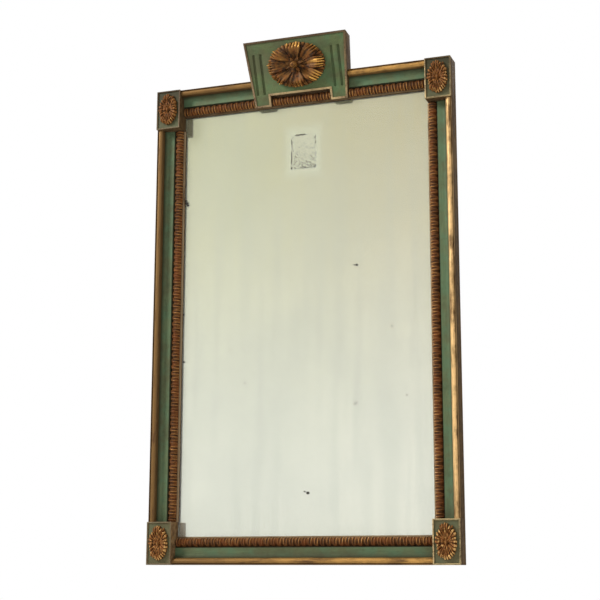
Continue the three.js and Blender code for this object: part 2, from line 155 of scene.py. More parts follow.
def new_material(name):
    """An empty material, and the place of a point on the object as a wire."""
    made = bpy.data.materials.new(name)
    made.use_nodes = True
    coordinates = made.node_tree.nodes.new("ShaderNodeTexCoord")
    return made, Wire(coordinates.outputs["Object"])


def finish(material, colour, roughness, metallic=0.0, relief=None, depth=0.0, **constants):
    """Feeds the material's shader. relief is a height from 0 to 1, and depth its size."""
    shader = material.node_tree.nodes["Principled BSDF"]
    sockets = {
        "Base Color": colour_input(colour), "Roughness": roughness, "Metallic": metallic,
        "Specular IOR Level": 0.2,
    }
    if relief is not None:
        sockets["Normal"] = relief.node("Bump", {}, {"Height": relief, "Distance": depth})
    for key, value in {**sockets, **constants}.items():
        if isinstance(value, Wire):
            material.node_tree.links.new(value.socket, shader.inputs[key])
        else:
            shader.inputs[key].default_value = value
    return material


def drawn_out(run, share):
    """The stretch of a pattern that is drawn out along one axis, or along none without a run."""
    return tuple(share if axis == run else 1 for axis in "XYZ")


def bare_pine(name, run):
    """Softwood a century or two old, with its grain along one axis."""
    material, place = new_material(name)
    along = drawn_out(run, 0.03)
    grain = cloud(place, 330, 5, 0.65, along, 0.4)
    rings = cloud(place, 95, 3, 0.55, along, 0.9)
    broad = cloud(place, 14, 3, 0.6, along)
    dirt = cloud(place, 7, 6, 0.68)
    knots = cloud(place, 17, 1, 0.4, drawn_out(run, 0.35), 0.3)
    wood = blend(rise(broad, 0.35, 0.65), (0.225, 0.135, 0.066), (0.305, 0.195, 0.100))
    wood = blend(rise(rings, 0.46, 0.56, 0.0, 0.50), wood, (0.165, 0.088, 0.038))
    wood = blend(rise(grain, 0.50, 0.62, 0.0, 0.45), wood, (0.120, 0.068, 0.032))
    wood = blend(rise(knots, 0.74, 0.78, 0.0, 0.85), wood, (0.070, 0.032, 0.014))
    wood = blend(rise(dirt, 0.45, 0.75, 0.0, 0.65), wood, (0.085, 0.060, 0.040))
    return finish(material, wood, 0.66 + grain * 0.2, 0.0, grain + rings, 0.3 * MM)


pine = {
    "X": bare_pine("aged softwood, grain across", "X"),
    "Z": bare_pine("aged softwood, grain upright", "Z"),
}


def copy_of(node):
    """The node's own shape, its loose triangles joined into flat faces."""
    bm = bmesh.new()
    bm.from_mesh(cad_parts[node].data)
    bmesh.ops.remove_doubles(bm, verts=bm.verts, dist=0.005 * MM)
    bmesh.ops.dissolve_limit(
        bm, angle_limit=math.radians(0.5), verts=bm.verts, edges=bm.edges,
        delimit=set(), use_dissolve_boundaries=False,
    )
    return bm


def ease_edges(bm, width, segments=2, steepest=35):
    """Rounds the outer edges that are sharper than an angle in degrees."""
    sharp = [
        edge for edge in bm.edges
        if edge.is_manifold and edge.is_convex and edge.calc_face_angle() > math.radians(steepest)
    ]
    bmesh.ops.bevel(
        bm, geom=sharp, offset=width, offset_type="OFFSET", segments=segments, profile=0.5,
        affect="EDGES", clamp_overlap=True, material=-1,
    )


def add_piece(bm, name, materials, node, body="mirror", smooth=35):
    """Puts a finished mesh on the object, in the place of the node that it stands for."""
    mesh = bpy.data.meshes.new(name)
    bm.to_mesh(mesh)
    bm.free()
    mesh.shade_smooth()
    mesh.set_sharp_from_angle(angle=math.radians(smooth))
    for material in materials:
        mesh.materials.append(material)
    made = bpy.data.objects.new(name, mesh)
    bpy.context.scene.collection.objects.link(made)
    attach(made, body)
    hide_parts(node)
    return made


def thin_brown(name, strength=1.0):
    """Thin brown paint with a little bronze in it, over the sides that face outward."""
    material, place = new_material(name)
    rubbed = cloud(place, 90, 5, 0.65)
    patches = cloud(place, 12, 3, 0.6)
    dark = scaled((0.058, 0.035, 0.016), strength)
    light = scaled((0.133, 0.082, 0.039), strength)
    bronze = scaled((0.175, 0.105, 0.040), strength)
    brown = blend(rise(rubbed, 0.3, 0.7), dark, light)
    brown = blend(rise(patches, 0.45, 0.7, 0.0, 0.6), brown, bronze)
    matt = {"Specular IOR Level": 0.03}
    return finish(material, brown, 0.6 + rubbed * 0.2, 0.0, rubbed, 0.3 * MM, **matt)


side_brown = thin_brown("thin brown paint")
FRAME_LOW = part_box("left_stile")[0]
FRAME_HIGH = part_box("right_stile")[1]


def paint_outside(bm):
    """Gives a piece's second material to its faces on the outside of the whole frame."""
    for face in bm.faces:
        middle = face.calc_center_median()
        reach = max(abs(middle.x) - FRAME_HIGH.x, abs(middle.z) - FRAME_HIGH.z)
        if reach > -1.0 * MM and abs(face.normal.y) < 0.8:
            face.material_index = 1


# The members of the frame, and the axis along which the grain of each runs.
MEMBERS = {"left_stile": "Z", "right_stile": "Z", "top_rail": "X", "bottom_rail": "X"}
for node, run in MEMBERS.items():
    member = copy_of(node)
    ease_edges(member, 0.8 * MM)
    paint_outside(member)
    add_piece(member, f"{node}_wood", [pine[run], side_brown], node)


# ---- outer bead -----------------------------------------------------------------------------
# A cushion moulding round the outside with a fillet and a groove beside it, planed in lengths,
# laid with gesso and a brown ground, and gilded. The fillet and the sides are left brown.

FRAME_BACK = FRAME_HIGH.y
JOINT_GAP = 0.3
SEAT = 20.0 + JOINT_GAP           # heights in mm, forward from the frame's back
BEAD_TOP = 54.0
BEAD_WIDTH = 19.2
GROOVE_END = 3.6
GROOVE_TOP = 50.0
CROWN_START = 5.0

# Each side of the frame has axes of its own: inward from the outer edge, along the side, and
# forward. A place on it is given as (inward, forward, along) in millimetres.
SIDES = {
    "left": (Vector((1, 0, 0)), Vector((0, 0, -1)), Vector((FRAME_LOW.x, FRAME_BACK, 0))),
    "right": (Vector((-1, 0, 0)), Vector((0, 0, 1)), Vector((FRAME_HIGH.x, FRAME_BACK, 0))),
    "bottom": (Vector((0, 0, 1)), Vector((1, 0, 0)), Vector((0, FRAME_BACK, FRAME_LOW.z))),
    "top": (Vector((0, 0, -1)), Vector((-1, 0, 0)), Vector((0, FRAME_BACK, FRAME_HIGH.z))),
}
FORWARD = Vector((0, -1, 0))
# The axis along which each side's mouldings run, for the grain and the brush strokes.
RUNS = {"left": "Z", "right": "Z", "bottom": "X", "top": "X"}


def on_side(side, inward, forward, along):
    """A place on one side of the frame, in metres."""
    across, run, corner = SIDES[side]
    return corner + (across * inward + FORWARD * forward + run * along) * MM


def arc(centre, radii, start, end, steps):
    """Points of an arc of an ellipse, between two angles in degrees."""
    angles = [math.radians(start + (end - start) * i / steps) for i in range(steps + 1)]
    return [
        (centre[0] + radii[0] * math.cos(angle), centre[1] + radii[1] * math.sin(angle))
        for angle in angles
    ]


def drawn_moulding(section, steps):
    """A length of moulding from 0 to 1 along Z, its section drawn out in steps."""
    bm = bmesh.new()
    face = bm.faces.new([bm.verts.new((*point, 0)) for point in section])
    section_line = list(face.verts) + list(face.edges)
    bmesh.ops.delete(bm, geom=[face], context="FACES_ONLY")
    bmesh.ops.spin(
        bm, geom=section_line, cent=(0, 0, 0), axis=(0, 0, 1), dvec=(0, 0, 1 / steps),
        angle=0, steps=steps, use_duplicate=False,
    )
    bmesh.ops.holes_fill(bm, edges=bm.edges, sides=0)
    return bm


def lay_moulding(bm, side, start, end, sway, relief):
    """Lays a drawn moulding on a side, between two places along it, as a hand plane left it.

    start and end are numbers, or functions of (inward, forward) for a scribed end. sway is how
    far the plane wandered, in mm. relief is a function of (inward, forward), from 0 in a hollow
    to 1 on a crown.
    """
    tone = bm.verts.layers.float.new("relief")
    for vert in bm.verts:
        inward, forward, share = vert.co
        first, last = (p(inward, forward) if callable(p) else p for p in (start, end))
        along = first + (last - first) * share
        vert[tone] = relief(inward, forward)
        lift = max(0.0, (forward - SEAT) / 30)
        forward -= lift * sway * (1 + noise.noise((along * 0.011, 3.7, forward * 0.02)))
        vert.co = on_side(side, inward, forward, along)
    bmesh.ops.recalc_face_normals(bm, faces=bm.faces)
    return bm


def crown_of(place):
    """How bright the relief of a piece is at a place, from 0 in a hollow to 1 on a crown."""
    return place.node("Attribute", {"attribute_name": "relief"}, {}, 2)


def gilding(name, run, dull, bright, wear=0.5):
    """Worn gilding: leaf over a brown ground, rubbed along a run, with a painted sheen that runs
    from dull on the left to bright on the right.
    """
    material, place = new_material(name)
    along = drawn_out(run, 0.05)
    crown = crown_of(place)
    across = axis_of(place, "X")
    rubbed = cloud(place, 210, 5, 0.68, along, 0.3)
    streaks = cloud(place, 480, 3, 0.6, along)
    patches = cloud(place, 26, 5, 0.68, drawn_out(run or "X", 0.5))
    specks = cloud(place, 420, 3, 0.6)
    # Painted sheen: dull on the left, bright on the right.
    leaf = blend(rise(across, -0.46, 0.40), dull, bright)
    leaf = blend(rise(patches, 0.40, 0.66, 0.0, 0.75), leaf, dull)
    leaf = blend(rise(streaks, 0.56, 0.66, 0.0, 0.5), leaf, dull)
    bare = rise(rubbed + (patches - 0.5) * 0.5, 0.60 - 0.14 * wear, 0.74 - 0.12 * wear)
    leaf = blend(bare * 0.85, leaf, (0.085, 0.036, 0.012))
    leaf = blend(rise(specks, 0.62, 0.70, 0.0, 0.6), leaf, (0.035, 0.019, 0.009))
    # Darkened where the relief attribute is low: on the bead, painted shade in its groove and down
    # its inner slope; on the rims, painted sheen with wear.
    leaf = blend(rise(crown, 0.0, 0.85, 0.93, 0.0), leaf, (0.050, 0.026, 0.010))
    kept = rise(crown, 0.25, 0.85) * (1 - bare)
    roughness = rise(rubbed, 0.3, 0.7, 0.46, 0.64)
    return finish(material, leaf, roughness, 0.05 + kept * 0.35, rubbed, 0.35 * MM)


# The upright copy has the brighter gold: painted sheen.
bead_gilding = {
    "X": gilding("worn gilding, across", "X", (0.155, 0.080, 0.022), (0.55, 0.295, 0.078)),
    "Z": gilding("worn gilding, upright", "Z", (0.190, 0.103, 0.032), (0.78, 0.500, 0.215)),
}

BEAD_SECTION = [
    (0, SEAT),
    (BEAD_WIDTH, SEAT),
    (BEAD_WIDTH, 44),
    *arc((9.4, 45), (9.5, BEAD_TOP - 45), 5, 90, 9),
    *arc((9.4, 48), (5.6, BEAD_TOP - 48), 105, 170, 5),
    (3.5, 48.5),
    (2.9, 48.5),
    (2.4, 50.6),
    (1.9, 51.5),
    (0.9, 51.8),
    (0.2, 51.5),
    (0, 50.8),
]
BLOCK_WIDTH = 75.0
BLOCK_HEIGHT = 119.0
STILE_END = FRAME_HIGH.z / MM - BLOCK_HEIGHT - JOINT_GAP
RAIL_END = FRAME_HIGH.x / MM - BLOCK_WIDTH - JOINT_GAP
# How bright the inner slope of the bead is kept on each side: painted shade, darkest on the top,
# where the slope faces down.
SLOPE_LIGHT_LEVELS = {"left": 0.45, "right": 0.75, "bottom": 0.85, "top": 0.15}


def clamp(value, low=0.0, high=1.0):
    """The value, held between two limits."""
    return min(high, max(low, value))


def bead_relief(side):
    """Dark on the fillet, bright on the crown, with painted shade in the groove and down the inner
    slope to the frieze.
    """
    def relief(inward, forward):
        if inward < GROOVE_END:
            return 0.30 if forward > GROOVE_TOP else 0.05
        if inward < CROWN_START:
            return 0.55
        return clamp(1.1 - (inward - 12.0) / 9.0, SLOPE_LIGHT_LEVELS[side])
    return relief


CREST_LEAN = math.radians(21)
CREST_SLANT = 191.6               # the crest's front, measured up its slope
CREST_TOP_HALF = 156.5
CREST_FOOT_HALF = 141.8
CREST_FOOT_FRONT = 33.1
CREST_FOOT_DROP = 78.9
CREST_GAP = 0.6


def beside_crest(sign):
    """Where a length of the top moulding stops against the crest, scribed to its side."""
    def place(inward, forward):
        out = (forward - CREST_FOOT_FRONT) * math.sin(CREST_LEAN)
        up = (CREST_FOOT_DROP - inward) * math.cos(CREST_LEAN)
        spread = (CREST_TOP_HALF - CREST_FOOT_HALF) * (out + up) / CREST_SLANT
        return sign * (CREST_FOOT_HALF + spread + CREST_GAP)
    return place


# The lengths of a moulding that runs all round, by node: side, start, end and steps.
ROUND_THE_FRAME = {
    "left": ("left", -STILE_END, STILE_END, 60),
    "right": ("right", -STILE_END, STILE_END, 60),
    "bottom": ("bottom", -RAIL_END, RAIL_END, 40),
    "top_left": ("top", beside_crest(1), RAIL_END, 14),
    "top_right": ("top", -RAIL_END, beside_crest(-1), 14),
}

for place_name, (side, start, end, steps) in ROUND_THE_FRAME.items():
    bead = lay_moulding(
        drawn_moulding(BEAD_SECTION, steps), side, start, end, 0.25, bead_relief(side),
    )
    paint_outside(bead)
    add_piece(bead, f"{place_name}_gilt_bead", [bead_gilding[RUNS[side]], side_brown],
              f"{place_name}_bead")


# ---- green frieze ---------------------------------------------------------------------------
# A shallow cove between the bead and the leaves, painted grey-green over gesso with a brush
# drawn along it. The paint is thin on its arrises; painted shade darkens it under the bead, and
# painted shade with dirt darkens the quirk beside the leaves.

def green_paint(name, run, tone=(0.124, 0.162, 0.078)):
    """Old grey-green paint, brushed along a run, stained and thin in places."""
    material, place = new_material(name)
    crown = crown_of(place)
    brush = cloud(place, 300, 4, 0.6, drawn_out(run, 0.06))
    stains = cloud(place, 13, 6, 0.66, (1, 1, 0.6) if run == "Z" else (0.7, 1, 1))
    blots = cloud(place, 55, 5, 0.7)
    chips = cloud(place, 130, 6, 0.72)
    darker = scaled(tone, 0.60)
    paint = blend(rise(brush, 0.32, 0.68), darker, scaled(tone, 1.35))
    paint = blend(rise(brush, 0.2, 0.8, 0.70, 0.60), paint, tone)
    bluer = scaled(tone, 0.80, 1.10, 1.20)
    paint = blend(rise(cloud(place, 23, 3), 0.38, 0.62, 0.0, 0.7), paint, bluer)
    paint = blend(rise(stains, 0.42, 0.66, 0.0, 0.75), paint, (0.095, 0.090, 0.042))
    paint = blend(rise(blots, 0.52, 0.70, 0.0, 0.45), paint, darker)
    paint = blend(rise(chips, 0.655, 0.69, 0.0, 0.75), paint, (0.070, 0.044, 0.022))
    # Darkened where the relief attribute is low, broken up by blots of dirt: painted shade under
    # the bead, in the quirk and in the crest's flutes, and the per-side tones of the blocks.
    grime_and_shade = rise(crown + (blots - 0.5) * 0.4, 0.05, 0.95, 0.93, 0.0)
    paint = blend(grime_and_shade, paint, (0.032, 0.027, 0.011))
    return finish(material, paint, 0.58 + brush * 0.2, 0.0, brush, 0.15 * MM)


frieze_green = {
    "X": green_paint("grey-green paint, across", "X"),
    "Z": green_paint("grey-green paint, upright", "Z"),
}
QUIRK_TOP = 28.0
FRIEZE_SECTION = [
    (19.5, SEAT),
    (49.3, SEAT),
    (49.3, 26.6),
    (47.6, 26.6),
    (47.1, 27.0),
    (46.9, 29.4),
    (46.3, 29.8),
    (44.6, 29.7),
    (40, 29.3),
    *arc((34, 39.5), (14, 10.5), 270, 180, 10),
    (19.5, 39.5),
]
# How far the painted shade reaches out over the paint from under the bead on each side, in mm.
BEAD_SHADE_REACH = {"left": 10, "right": 13, "bottom": 29, "top": 13}


def frieze_relief(side):
    """Painted shade under the bead's edge, and painted shade with dirt in the quirk beside the
    leaves.
    """
    def relief(inward, forward):
        if forward < QUIRK_TOP:
            return 0.0
        return min(0.26 + (inward - 20) / BEAD_SHADE_REACH[side], 1.3 - (inward - 40) / 12, 1.0)
    return relief


for place_name, (side, start, end, steps) in ROUND_THE_FRAME.items():
    cove = lay_moulding(
        drawn_moulding(FRIEZE_SECTION, steps), side, start, end, 0.2, frieze_relief(side),
    )
    add_piece(cove, f"{place_name}_painted_frieze", [frieze_green[RUNS[side]]],
              f"{place_name}_frieze")


# ---- carved leaf moulding -------------------------------------------------------------------
# A half-round cut across into a row of hollow tongues, each with a raised rim, parted by darts.
# The carving is gilded, and dark brown dirt fills everything but the rims.

LEAF_MIDDLE = 61.9
LEAF_HALF = 12.3
LEAF_SPRING = 23.0
LEAF_RISE = 12.5
LEAF_PITCH = 18.0
CUT_DEPTH = 3.8

# The cuts across a leaf: place in mm, depth as a share, and tone. Half a leaf goes from beside
# its hollow middle, over its rim, to the cut outside it. A whole leaf starts at a dart.
HALF_LEAF = (
    (2.0, 0.75, 0.05),
    (3.3, 0.20, 0.65),
    (4.3, 0.00, 1.00),
    (5.2, 0.25, 0.70),
    (6.1, 1.00, 0.00),
    (7.4, 0.90, 0.05),
)
LEAF_CUTS = (
    (-LEAF_PITCH / 2, 0.60, 0.25),
    *((-place, depth, tone) for place, depth, tone in reversed(HALF_LEAF)),
    (0.0, 0.80, 0.10),
    *HALF_LEAF,
)
LEAF_COLUMNS = len(LEAF_CUTS)
LEAF_SECTION = [
    (LEAF_MIDDLE - LEAF_HALF, SEAT),
    (LEAF_MIDDLE + LEAF_HALF, SEAT),
    *arc((LEAF_MIDDLE, LEAF_SPRING), (LEAF_HALF, LEAF_RISE), 0, 180, 11),
]


def cut_leaf(inward, forward, column, number):
    """Where a point of the half-round goes when a leaf is cut, and how bright it stays."""
    place, depth, tone = LEAF_CUTS[column]
    if forward <= SEAT + 0.1:
        return inward, forward, place, 0.0
    wobble = noise.noise((number * 0.73, column * 0.11, 5.1))
    uneven = noise.noise((number * 2.17, 9.3, 1.7))
    share = (inward - LEAF_MIDDLE) / LEAF_HALF        # -1 outside, 1 beside the glass
    outside = clamp((share + 1.0 - 0.12 * uneven) / 0.60)
    width = math.sqrt(outside * (2 - outside)) * (1 + 0.12 * wobble)
    if abs(place) < 7:                                # the tongue, and outside it the dart
        place *= 0.22 + 0.78 * width
        tip = 1 - outside
        tone += (0.85 - tone) * tip * (0.9 if abs(place) < 5 else 0.2)
        depth *= 1 - 0.65 * tip
    else:
        tone += 0.40 * max(0.0, share)
        depth += 0.25 * (1 - outside)
    tone = tone * (0.74 + 0.32 * share + 0.25 * uneven) + 0.12 * wobble
    depth *= CUT_DEPTH * (1 + 0.16 * wobble)
    along = place + 0.7 * uneven + 0.5 * noise.noise((number * 1.31, 0.4, share))
    level = (forward - LEAF_SPRING) / LEAF_RISE
    outward = Vector((share, max(level, 0.3))).normalized()
    inset = 0.3 * depth if level < 0.05 else depth
    return inward - outward.x * inset, forward - outward.y * inset, along, tone


def leaf_moulding(side, start, end):
    """A length of leaf moulding with a whole number of leaves."""
    leaves = max(1, round(abs(end - start) / LEAF_PITCH))
    pitch = (end - start) / leaves
    steps = leaves * LEAF_COLUMNS
    bm = drawn_moulding(LEAF_SECTION, steps)
    tone = bm.verts.layers.float.new("relief")
    for vert in bm.verts:
        inward, forward, share = vert.co
        cut = round(share * steps)
        number, column = divmod(cut, LEAF_COLUMNS)
        inward, forward, along, bright = cut_leaf(inward, forward, column, number)
        vert[tone] = clamp(bright)
        along += start + pitch * (number + 0.5)
        along = start if cut == 0 else end if cut == steps else along
        vert.co = on_side(side, inward, forward, along)
    bmesh.ops.recalc_face_normals(bm, faces=bm.faces)
    return bm


def carved_gilding(name, ground, middle, bright, tips=0.5, patch=22):
    """Gilding on carving: dirt in the hollows, brown on the slopes and gold on the rims. tips
    is how high the gold starts, and patch the scale of the wear."""
    material, place = new_material(name)
    crown = crown_of(place)
    across = axis_of(place, "X")
    rubbed = cloud(place, 260, 4, 0.65)
    patches = cloud(place, patch, 4, 0.62)
    height = crown + (rubbed - 0.5) * 0.5 + (patches - 0.5) * 0.8
    worn = blend(rise(height, 0.02, 0.50), ground, middle)
    lit = rise(across, -0.5, 0.42, 0.6, 1.0)
    worn = blend(rise(height, tips, tips + 0.42) * lit, worn, bright)
    redder = scaled(middle, 1.15, 0.85, 0.70)
    worn = blend(rise(cloud(place, patch * 1.7, 3), 0.45, 0.65, 0.0, 0.5), worn, redder)
    shine = rise(height, 0.35, 0.95, 0.0, 0.5)
    roughness = rise(height, 0.1, 0.9, 0.65, 0.40)
    return finish(material, worn, roughness, shine, rubbed, 0.35 * MM)


def round_off(carving):
    """Softens the cuts of a carved piece."""
    rounding = carving.modifiers.new("rounding", "SUBSURF")
    rounding.levels = 1
    rounding.render_levels = 1


leaf_gilding = carved_gilding(
    "gilding on carved leaves", (0.050, 0.018, 0.004), (0.178, 0.068, 0.016), (0.58, 0.29, 0.085),
)
# The top moulding is in three lengths, one between the legs of the crest and one on each side.
CREST_NOTCH_HALF = 91.5
BETWEEN_LEGS = CREST_NOTCH_HALF - CREST_GAP
BESIDE_LEGS = CREST_FOOT_HALF + 1.5 * CREST_GAP
LEAF_RUNS = {
    "left": ("left", -STILE_END, STILE_END),
    "right": ("right", -STILE_END, STILE_END),
    "bottom": ("bottom", -RAIL_END, RAIL_END),
    "top_left": ("top", BESIDE_LEGS, RAIL_END),
    "top_middle": ("top", -BETWEEN_LEGS, BETWEEN_LEGS),
    "top_right": ("top", -RAIL_END, -BESIDE_LEGS),
}

for place_name, (side, start, end) in LEAF_RUNS.items():
    round_off(add_piece(
        leaf_moulding(side, start, end), f"{place_name}_carved_leaves", [leaf_gilding],
        f"{place_name}_leaf_moulding", smooth=70,
    ))


# ---- sight slip -----------------------------------------------------------------------------
# A thin moulded fillet glued inside the leaves. It laps over the glass and holds it from the
# front, and its dull gilding is mostly rubbed down to the brown.

SLIP_EDGE = 17.2
SLIP_SECTION = [
    (66.3, 12.8),
    (78.0, 12.8),
    (78.0, 16.6),
    (77.6, 17.5),
    (76.8, 17.9),
    (74.8, 18.0),
    (74.8, 20.0),
    (66.3, 20.0),
]


def slip_relief(_, forward):
    """Its front edge is rubbed bright; its foot beside the glass is dark."""
    return 0.85 if forward > SLIP_EDGE else 0.1


slip_gilding = {
    "X": gilding("dull gilding, across", "X", (0.180, 0.120, 0.062), (0.240, 0.165, 0.085), 0.6),
    "Z": gilding("dull gilding, upright", "Z", (0.360, 0.255, 0.145), (0.215, 0.138, 0.062), 0.4),
}
for side, run in RUNS.items():
    end = STILE_END if run == "Z" else RAIL_END
    fillet = lay_moulding(drawn_moulding(SLIP_SECTION, 40), side, -end, end, 0.0, slip_relief)
    add_piece(fillet, f"{side}_gilt_slip", [slip_gilding[run]], f"{side}_sight_slip")


# ---- corner blocks --------------------------------------------------------------------------
# Blocks of wood glued over the corners and stepped down over the glass. Their fronts are sunk
# inside a narrow rim that is gilded, with green in the sunk field and brown on the sides.

block_green = green_paint("grey-green paint, blocks", "", (0.150, 0.130, 0.062))
# Lighter copies of the brown paint for the sides of the left blocks, which lie in shade: painted
# light.
BLOCK_SIDES_LIGHTENED = {
    "top_left": thin_brown("thin brown paint, upper block", 1.15),
    "bottom_left": thin_brown("thin brown paint, lower block", 2.4),
}
rim_gilding = gilding("worn gilding on rims", "", (0.190, 0.130, 0.075), (0.64, 0.47, 0.22), 0.55)

BLOCK_TOP = 60.5
BLOCK_RECESS = 3.5
BLOCK_RIM = 4.4


def front_of(height):
    """The y of a surface that stands a height in mm forward of the frame's back."""
    return FRAME_BACK - height * MM


def set_tone(bm, tone_of):
    """Writes how bright each point stays, from 0 in a hollow to 1 on a crown."""
    tone = bm.verts.layers.float.new("relief")
    for vert in bm.verts:
        vert[tone] = tone_of(vert.co)


def rim_side(offset):
    """Which side of a block's rim a point is on: 0 left, 1 right, 2 bottom or 3 top."""
    if abs(offset.x) / BLOCK_WIDTH > abs(offset.z) / BLOCK_HEIGHT:
        return 1 if offset.x > 0 else 0
    return 3 if offset.z > 0 else 2


CORNERS = ("top_left", "top_right", "bottom_left", "bottom_right")
# How bright the rim of each block is kept, on its left, right, bottom and top: painted sheen on
# the sides that catch the light, with wear.
RIM_SHEEN_AND_WEAR = {
    "top_left": (0.25, 0.75, 0.65, 0.20),
    "top_right": (0.70, 0.60, 0.75, 0.20),
    "bottom_left": (0.70, 0.90, 0.75, 0.80),
    "bottom_right": (1.0, 0.9, 1.0, 1.0),
}
for corner in CORNERS:
    node = f"{corner}_corner_block"
    block = copy_of(node)
    ease_edges(block, 1.3 * MM, 3)
    low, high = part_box(node)
    middle = (low + high) / 2
    for face in block.faces:
        place = face.calc_center_median()
        across, up = abs(place.x - middle.x) / MM, abs(place.z - middle.z) / MM
        inside = across < BLOCK_WIDTH / 2 - BLOCK_RIM and up < BLOCK_HEIGHT / 2 - BLOCK_RIM
        if inside and place.y < front_of(BLOCK_TOP - BLOCK_RECESS - 0.1):
            face.material_index = 1
        elif place.y < front_of(BLOCK_TOP - 1.5):
            face.material_index = 0
        else:
            face.material_index = 2
    # The rim's per-side tones, painted sheen with wear, also darken the sunk green field side by
    # side.
    worn = RIM_SHEEN_AND_WEAR[corner]
    set_tone(block, lambda place: worn[rim_side(place - middle)])
    sides = BLOCK_SIDES_LIGHTENED.get(corner, side_brown)
    add_piece(block, f"{corner}_painted_block", [rim_gilding, block_green, sides],
              node)


# ---- carved rosettes ------------------------------------------------------------------------
# Oval flowers carved in the round, gilded and glued on. Each has a ring of narrow petals with
# ragged rounded tips, cut deep between, and a round bud in a lobed hollow.

def step(value, low, high):
    """A smooth step from 0 to 1 while value goes from low to high."""
    share = clamp((value - low) / (high - low))
    return share * share * (3 - 2 * share)


def outline(points):
    """A bmesh with a line of edges through the points."""
    bm = bmesh.new()
    verts = [bm.verts.new(point) for point in points]
    for pair in zip(verts, verts[1:]):
        bm.edges.new(pair)
    return bm


def turn_round(bm, axis, steps):
    """Turns an outline about an axis through the origin, as a lathe does, into a closed body."""
    bmesh.ops.spin(
        bm, geom=list(bm.verts) + list(bm.edges), cent=(0, 0, 0), axis=axis,
        angle=2 * math.pi, steps=steps, use_merge=True, use_duplicate=False,
    )
    bmesh.ops.remove_doubles(bm, verts=bm.verts, dist=1e-6)
    bmesh.ops.recalc_face_normals(bm, faces=bm.faces)


def turned_disc(first, rings, around):
    """A closed round disc of radius 1, its top divided into rings from a first radius out."""
    radii = [first + (1 - first) * i / (rings - 1) for i in range(rings)]
    bm = outline([(0, 0, 1), *((radius, 0, 1) for radius in radii), (1, 0, 0), (0, 0, 0)])
    turn_round(bm, (0, 0, 1), around)
    return bm


def carve_disc(bm, half_width, half_height, carve, kept=1.0):
    """Carves a disc into an oval flower, in metres. carve gives, at a share of the radius and
    an angle, the height in mm, the outline's share there and the tone. kept scales the tone."""
    tone = bm.verts.layers.float.new("relief")
    for vert in bm.verts:
        share = math.hypot(vert.co.x, vert.co.y)
        angle = math.atan2(vert.co.y, vert.co.x)
        height, reach, bright = carve(share, angle)
        if vert.co.z < 0.5:                           # the flat back
            height, bright = 0.0, 0.0
        vert[tone] = bright * kept
        vert.co.x *= reach * half_width * MM
        vert.co.y *= reach * half_height * MM
        vert.co.z = height * MM


CORNER_PETALS = 26


def corner_flower(share, angle):
    """Narrow rounded petals, cut deep between, round a hollow with a small bud."""
    angle += 0.10 * noise.noise((math.cos(angle) * 3, math.sin(angle) * 3, share * 2))
    wave = abs(math.cos(angle * CORNER_PETALS / 2))
    number = round(angle * CORNER_PETALS / (2 * math.pi)) % CORNER_PETALS
    uneven = noise.noise((number * 0.83, 7.7, 0.0))
    ragged = noise.noise((math.cos(angle) * share * 7, math.sin(angle) * share * 7, 2.0))
    outer = step(share, 0.34, 0.52)
    tip = step(share, 0.66, 0.92)
    cut = math.exp(-((wave / 0.38) ** 2)) * outer
    vein = math.exp(-(((1 - wave) / 0.05) ** 2)) * outer * (1 - tip)
    base = 8.0 + 3.4 * step(share, 0.40, 0.74) - 6.0 * step(share, 0.80, 1.0)
    base += 3.0 * uneven * outer + 1.8 * ragged
    ring = base - 4.4 * cut + 0.9 * wave ** 0.5 - 0.9 * vein
    inner_wave = abs(math.cos(angle * 5 + 0.3))
    inner = 9.4 - 3.6 * step(share, 0.34, 0.16) - 2.6 * (1 - inner_wave ** 0.7) + 1.5 * ragged
    height = ring * outer + inner * (1 - outer)
    bud = step(share, 0.16, 0.10)
    height = height * (1 - bud) + (10.2 + 3.2 * (1 - (share / 0.16) ** 2)) * bud
    height = min(height, 13.8) * step(share, 1.12, 0.97)
    reach = 1 - (0.12 * (1 - wave ** 0.6) + 0.05 + 0.16 * uneven) * step(share, 0.5, 1.0)
    # Petal tips on the right and lower side are kept brighter than the rest: painted light, with
    # random unevenness.
    kept = clamp(0.5 + 0.30 * (math.cos(angle) - 0.8 * math.sin(angle)) + 2.0 * uneven, 0.10)
    tone = outer * (0.28 + 0.20 * wave + 0.55 * tip * kept * wave ** 0.5 - 0.66 * cut)
    tone += (1 - outer) * (0.15 + 0.30 * inner_wave) * (1 - bud) + 0.45 * bud + 0.60 * ragged
    return height, min(1.0, reach), clamp(tone)


corner_gold = carved_gilding(
    "gilding on corner rosettes", (0.048, 0.020, 0.005), (0.250, 0.102, 0.023), (0.74, 0.45, 0.16),
    0.5, 90,
)


def seat_of(node):
    """Moves a piece made on the origin to the middle of the back of the node's box."""
    low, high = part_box(node)
    return Matrix.Translation(((low.x + high.x) / 2, high.y, (low.z + high.z) / 2))


CORNER_ROSETTE_HALF = (31.0, 50.5)
# The upper rosettes are dirtier than the lower ones.
ROSETTE_TONES = {"top_left": 0.64, "top_right": 0.74, "bottom_left": 1.0, "bottom_right": 1.0}
for corner in CORNERS:
    node = f"{corner}_corner_rosette"
    flower = turned_disc(0.05, 24, CORNER_PETALS * 10)
    carve_disc(flower, *CORNER_ROSETTE_HALF, corner_flower, ROSETTE_TONES[corner])
    stand_up = seat_of(node) @ Matrix.Rotation(math.pi / 2, 4, "X")
    bmesh.ops.transform(flower, matrix=stand_up, verts=flower.verts)
    add_piece(flower, f"{corner}_carved_rosette", [corner_gold], node,
              smooth=60)


# ---- crest tablet ---------------------------------------------------------------------------
# One thick board cut as a keystone on two legs, leaning forward over the top rail. Its front is
# sunk inside a gilded rim, painted green and gouged with two flutes on each side.

